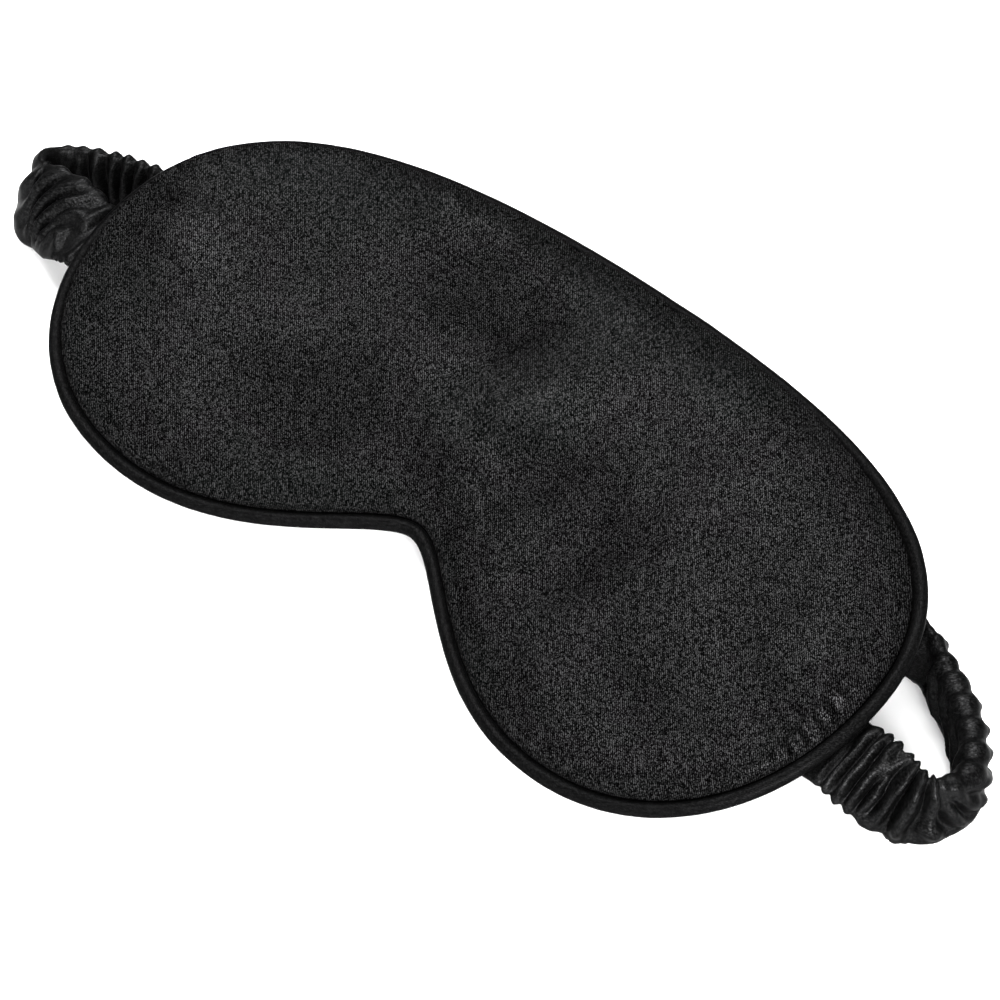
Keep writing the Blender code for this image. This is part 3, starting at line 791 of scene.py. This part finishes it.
# ------------------------------------------------------------------ materials

# Warp floats to the metre, along and across, as cells of a speckle
FLOATS = (4100.0, 5600.0, 4200.0)
# Scales of the wave textures, which draw threads 0.4 mm apart and the elastic's stitches 1.2 mm apart
THREAD_SCALE, STITCH_SCALE = 785.0, 260.0
# Size of the satin's cloudy patches, as a noise scale, and how much smoother or rougher they are
CLOUD_SCALE, CLOUDINESS = 60.0, 0.10
# Scale of the glints, in floats
GLINT_SCALE = 0.62
# Brightness of the satin at places in its grain, as multiples of its base colour
LIVELY = ((0.22, 0.02), (0.5, 0.45), (0.64, 1.5), (0.92, 9.0))
CALM = ((0.1, 0.35), (0.4, 0.75), (0.65, 1.2), (0.95, 2.6))
# Darkest and lightest fibres, as multiples of the base colour
DARK_FIBRE, LIGHT_FIBRE = 0.55, 1.3


def new_material(name, base, roughness, specular):
    """A material, with its nodes, links and shader."""
    made = bpy.data.materials.new(name)
    made.use_nodes = True
    shader = made.node_tree.nodes["Principled BSDF"]
    shader.inputs["Base Color"].default_value = (*base, 1.0)
    shader.inputs["Roughness"].default_value = roughness
    shader.inputs["Specular IOR Level"].default_value = specular
    return made, made.node_tree.nodes, made.node_tree.links, shader


def add(nodes, kind, values):
    """A new shader node, with the values of its inputs."""
    made = nodes.new("ShaderNode" + kind)
    for name, value in values.items():
        made.inputs[name].default_value = value
    return made


def add_attribute(nodes, name):
    """A node that reads what spread() put on the mesh."""
    made = add(nodes, "Attribute", {})
    made.attribute_name = name
    return made


def add_threads(nodes, direction, values):
    """Parallel threads, as the bands of a wave texture."""
    made = add(nodes, "TexWave", values)
    made.bands_direction = direction
    return made


def add_bump(nodes, links, shader, height, distance, strength):
    """Bumps the shader by a height, up to distance."""
    bump = add(nodes, "Bump", {"Strength": strength, "Distance": distance})
    links.new(height, bump.inputs["Height"])
    links.new(bump.outputs["Normal"], shader.inputs["Normal"])


def add_tint(nodes, links, shader, place, stops):
    """Colours the shader along a ramp. Stops are places and colours."""
    tint = add(nodes, "ValToRGB", {})
    elements = tint.color_ramp.elements
    while len(elements) < len(stops):
        elements.new(0.5)
    for element, (position, colour) in zip(elements, stops):
        element.position = position
        element.color = (*colour, 1.0)
    links.new(place, tint.inputs["Fac"])
    links.new(tint.outputs["Color"], shader.inputs["Base Color"])


def shades(base, shares):
    """Multiples of a colour, at their places."""
    return [(place, tuple(min(1.0, c * share) for c in base)) for place, share in shares]


def paint_shade_into_mirror(nodes, links, shader, gloss):
    """Paints shade into the satin: it mirrors less where the mesh's painted shade and highlight attribute
    says so.
    """
    mirrored = nodes.new("ShaderNodeMath")
    mirrored.operation = "MULTIPLY"
    mirrored.inputs[1].default_value = gloss
    links.new(add_attribute(nodes, "painted_shade_and_shine").outputs["Fac"], mirrored.inputs[0])
    links.new(mirrored.outputs["Value"], shader.inputs["Metallic"])


def satin_grain(nodes, links, turned, stretched, thread_share):
    """Speckled floats, mixed with faint threads."""
    floats = add(nodes, "TexVoronoi", {"Scale": 1.0})
    links.new(stretched, floats.inputs["Vector"])
    speckle = add(nodes, "SeparateColor", {})
    links.new(floats.outputs["Color"], speckle.inputs["Color"])
    values = {"Scale": THREAD_SCALE, "Distortion": 0.8, "Detail": 2.0, "Detail Scale": 1.6}
    threads = add_threads(nodes, "Y", values)
    links.new(turned, threads.inputs["Vector"])
    grain = add(nodes, "Mix", {"Factor": thread_share})
    links.new(speckle.outputs["Red"], grain.inputs["A"])
    links.new(threads.outputs["Fac"], grain.inputs["B"])
    return grain.outputs["Result"]


def cloud_roughness(nodes, links, shader, place, roughness):
    """Soft patches that are a little smoother or rougher."""
    clouds = add(nodes, "TexNoise", {"Scale": CLOUD_SCALE, "Detail": 3.0})
    links.new(place, clouds.inputs["Vector"])
    rough = add(nodes, "MapRange", {"To Min": roughness - CLOUDINESS, "To Max": roughness + CLOUDINESS})
    links.new(clouds.outputs["Fac"], rough.inputs["Value"])
    links.new(rough.outputs["Result"], shader.inputs["Roughness"])


def satin_material(name, base, roughness, gloss, turn, glint_size, thread_share, stops, paints_shade=False):
    """Black satin: speckled floats along the warp, faint threads, and soft cloudy variation.

    gloss is the share of its light that the floats mirror instead of scattering; when asked, painted shade
    and highlight from the mesh scale that share.
    """
    made, nodes, links, shader = new_material(name, base, roughness, 0.0)
    shader.inputs["Metallic"].default_value = gloss
    shader.inputs["Specular Tint"].default_value = (0.5, 0.5, 0.5, 1.0)
    # Painted shade and highlight: the mesh's attribute scales the mirror share
    if paints_shade:
        paint_shade_into_mirror(nodes, links, shader, gloss)
    place = add_attribute(nodes, "weave").outputs["Vector"]
    turned = add(nodes, "Mapping", {"Rotation": (0, 0, turn)})
    links.new(place, turned.inputs["Vector"])
    stretched = add(nodes, "Mapping", {"Scale": FLOATS})
    links.new(turned.outputs["Vector"], stretched.inputs["Vector"])
    grain = satin_grain(nodes, links, turned.outputs["Vector"], stretched.outputs["Vector"], thread_share)
    add_tint(nodes, links, shader, grain, shades(base, stops))
    cloud_roughness(nodes, links, shader, place, roughness)
    glints = add(nodes, "TexNoise", {"Scale": GLINT_SCALE, "Detail": 2.0, "Roughness": 0.7})
    links.new(stretched.outputs["Vector"], glints.inputs["Vector"])
    add_bump(nodes, links, shader, glints.outputs["Fac"], glint_size, 1.0)
    return made


def fibre_material(name, base, roughness, scale, along, bump_size):
    """Spun or felted fibres: wadding, cord, thread and lining."""
    made, nodes, links, shader = new_material(name, base, roughness, 0.2)
    mapped = add(nodes, "Mapping", {"Scale": along})
    links.new(add(nodes, "TexCoord", {}).outputs["Object"], mapped.inputs["Vector"])
    fibres = add(nodes, "TexNoise", {"Scale": scale, "Detail": 6.0, "Distortion": 0.8})
    links.new(mapped.outputs["Vector"], fibres.inputs["Vector"])
    stops = shades(base, ((0.0, DARK_FIBRE), (1.0, LIGHT_FIBRE)))
    add_tint(nodes, links, shader, fibres.outputs["Fac"], stops)
    add_bump(nodes, links, shader, fibres.outputs["Fac"], bump_size, 0.6)
    return made


def elastic_material():
    """Ribbed knitted elastic, with cross stitches along each rib."""
    made, nodes, links, shader = new_material("black_elastic", (0.018, 0.018, 0.018), 0.75, 0.3)
    stitches = add_threads(nodes, "X", {"Scale": STITCH_SCALE, "Distortion": 2.0})
    links.new(add_attribute(nodes, "weave").outputs["Vector"], stitches.inputs["Vector"])
    stops = [(0.0, (0.008, 0.008, 0.008)), (1.0, (0.03, 0.03, 0.03))]
    add_tint(nodes, links, shader, stitches.outputs["Fac"], stops)
    add_bump(nodes, links, shader, stitches.outputs["Fac"], 0.1 * MM, 1.0)
    return made


def finish_cad_nodes():
    """Materials for the pieces that stay as the CAD has them."""
    cord = fibre_material("white_cord", (0.62, 0.6, 0.55), 0.9, 1800.0, (1, 1, 1), 0.1 * MM)
    thread = fibre_material("black_thread", (0.008, 0.008, 0.009), 0.5, 4000.0, (1, 1, 1), 0.05 * MM)
    looks = (("piping_cord", cord), ("seam_thread", thread),
             ("strap_tack_left", thread), ("strap_tack_right", thread))
    for name, look in looks:
        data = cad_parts[name].data
        data.materials.clear()
        data.materials.append(look)


# ------------------------------------------------------------------ studio

FLOOR_HALF, FLOOR_POINTS = 1.6, 24
# Lights: name, place, size, power and target
LIGHTS = (
    ("overhead", (-0.46, 0.24, 1.2), 1.1, 52.0, (-0.46, 0.24, 0)),
    ("front", (0.6, -1.0, 0.9), 1.2, 34.0, (0, 0, 0.01)),
    ("side", (1.1, -0.6, 0.6), 0.6, 48.0, (0, 0, 0.01)),
)
SKY_STRENGTH = 0.35
# The camera: where it stands, its lens, and how far it is shifted sideways and down
AZIMUTH, ELEVATION, DISTANCE_BACK = radians(44.631), radians(44.9505), 1.1999
SENSOR, LENS = 36.0, 216.36
SHIFT_RIGHT, SHIFT_DOWN = 0.001956, 0.009743


def floor():
    """White paper under the mask."""
    line = np.linspace(-FLOOR_HALF, FLOOR_HALF, FLOOR_POINTS)
    x, y = np.meshgrid(line, line)
    points = np.stack([x, y, np.zeros_like(x)], axis=-1)
    firsts = [r * FLOOR_POINTS + c for r in range(FLOOR_POINTS - 1) for c in range(FLOOR_POINTS - 1)]
    faces = [(k, k + 1, k + 1 + FLOOR_POINTS, k + FLOOR_POINTS) for k in firsts]
    look = new_material("floor_paper", (0.93, 0.93, 0.93), 0.9, 0.1)[0]
    made = mesh_object("studio_floor", points, faces, look)
    made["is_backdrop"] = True


def area_light(name, place, size, power, target):
    """A square light that points at target."""
    data = bpy.data.lights.new(name, "AREA")
    data.shape, data.size, data.energy = "SQUARE", size, power
    made = bpy.data.objects.new(name, data)
    made.location = place
    made.rotation_euler = (Vector(target) - Vector(place)).to_track_quat("-Z", "Y").to_euler()
    bpy.context.scene.collection.objects.link(made)


def camera():
    """The main camera, which looks down on the mask from its right front."""
    back = Vector((sin(AZIMUTH) * cos(ELEVATION), -cos(AZIMUTH) * cos(ELEVATION), sin(ELEVATION)))
    right = Vector((cos(AZIMUTH), sin(AZIMUTH), 0))
    down = (-back).cross(right)
    data = bpy.data.cameras.new("camera")
    data.sensor_width, data.lens = SENSOR, LENS
    data.clip_start, data.clip_end = 0.05, 10.0
    made = bpy.data.objects.new("camera", data)
    aim = Vector((0, 0, SEAM_HEIGHT))
    made.location = aim + back * DISTANCE_BACK + right * SHIFT_RIGHT + down * SHIFT_DOWN
    made.rotation_euler = Matrix((right, -down, back)).transposed().to_euler()
    bpy.context.scene.collection.objects.link(made)
    bpy.context.scene.camera = made


def studio():
    """Floor, sky, lights and camera."""
    floor()
    world = bpy.data.worlds.new("studio")
    world.use_nodes = True
    background = world.node_tree.nodes["Background"]
    background.inputs["Color"].default_value = (1, 1, 1, 1)
    background.inputs["Strength"].default_value = SKY_STRENGTH
    bpy.context.scene.world = world
    for light in LIGHTS:
        area_light(*light)
    camera()
    bpy.context.scene.view_settings.view_transform = "Standard"


# ------------------------------------------------------------------ the mask

# The sleeve and the elastic are each made in two halves, which meet here behind the mask
SPLIT_X = 0.0


def corners():
    """The bounds as plain lists."""
    return [[float(v) for v in corner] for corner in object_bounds()]


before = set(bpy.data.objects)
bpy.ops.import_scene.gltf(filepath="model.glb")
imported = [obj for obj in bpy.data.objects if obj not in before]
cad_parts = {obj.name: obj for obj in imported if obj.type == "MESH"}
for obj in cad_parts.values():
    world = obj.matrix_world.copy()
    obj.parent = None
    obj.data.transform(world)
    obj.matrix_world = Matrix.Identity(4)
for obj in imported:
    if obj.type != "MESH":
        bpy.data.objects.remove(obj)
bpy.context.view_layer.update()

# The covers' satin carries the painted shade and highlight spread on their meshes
satin = satin_material(
    "black_satin", (0.0024, 0.0024, 0.00244), roughness=0.33, gloss=0.6, turn=radians(45),
    glint_size=0.05 * MM, thread_share=0.30, stops=LIVELY, paints_shade=True)
bias_satin = satin_material(
    "black_satin_piping", (0.0026, 0.0026, 0.00264), roughness=0.38, gloss=0.4, turn=radians(45),
    glint_size=0.03 * MM, thread_share=0.2, stops=CALM)
ruched_satin = satin_material(
    "black_satin_ruched", (0.0060, 0.0060, 0.0061), roughness=0.42, gloss=0.8, turn=radians(20),
    glint_size=0.02 * MM, thread_share=0.0, stops=CALM)
wool = fibre_material("white_wadding", (0.72, 0.71, 0.68), 0.95, 700.0, (1, 1, 3), 0.3 * MM)
plain_cloth = fibre_material("black_lining", (0.01, 0.01, 0.011), 0.8, 1500.0, (1, 3, 1), 0.1 * MM)

front, rear, bead = front_cover(satin), rear_cover(satin), piping(bias_satin)
inside, fill = lining(plain_cloth), wadding(wool)
for piece, cad, slot in ((front, "front_panel", "black_satin"), (rear, "rear_panel", "black_satin"),
                         (bead, "piping_cover", "black_satin"), (inside, "blackout_lining", "black_lining"),
                         (fill, "padding", "white_wadding")):
    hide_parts(cad)
    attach(piece, "mask")

strap = Strap()
from_split = np.where(strap.middle[:, 1] > 0, np.abs(strap.middle[:, 0] - SPLIT_X), 1.0)
middle_row = int(np.argmin(from_split))
right_rows, left_rows = np.arange(0, middle_row + 1), np.arange(middle_row, len(strap.at))
band = elastic_material()
right_sleeve = sleeve("sleeve_right", strap, right_rows, ruched_satin)
left_sleeve = sleeve("sleeve_left", strap, left_rows, ruched_satin)
right_elastic = elastic("elastic_right", strap, right_rows, band)
left_elastic = elastic("elastic_left", strap, left_rows, band)
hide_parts("strap_sleeve_right", "strap_sleeve_back")
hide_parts("strap_sleeve_left", "strap_sleeve_back")
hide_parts("strap_elastic_right", "strap_elastic_back")
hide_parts("strap_elastic_left", "strap_elastic_back")
for piece in (right_sleeve, right_elastic):
    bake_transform(piece)
for piece in (left_sleeve, left_elastic):
    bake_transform(piece)

finish_cad_nodes()
studio()
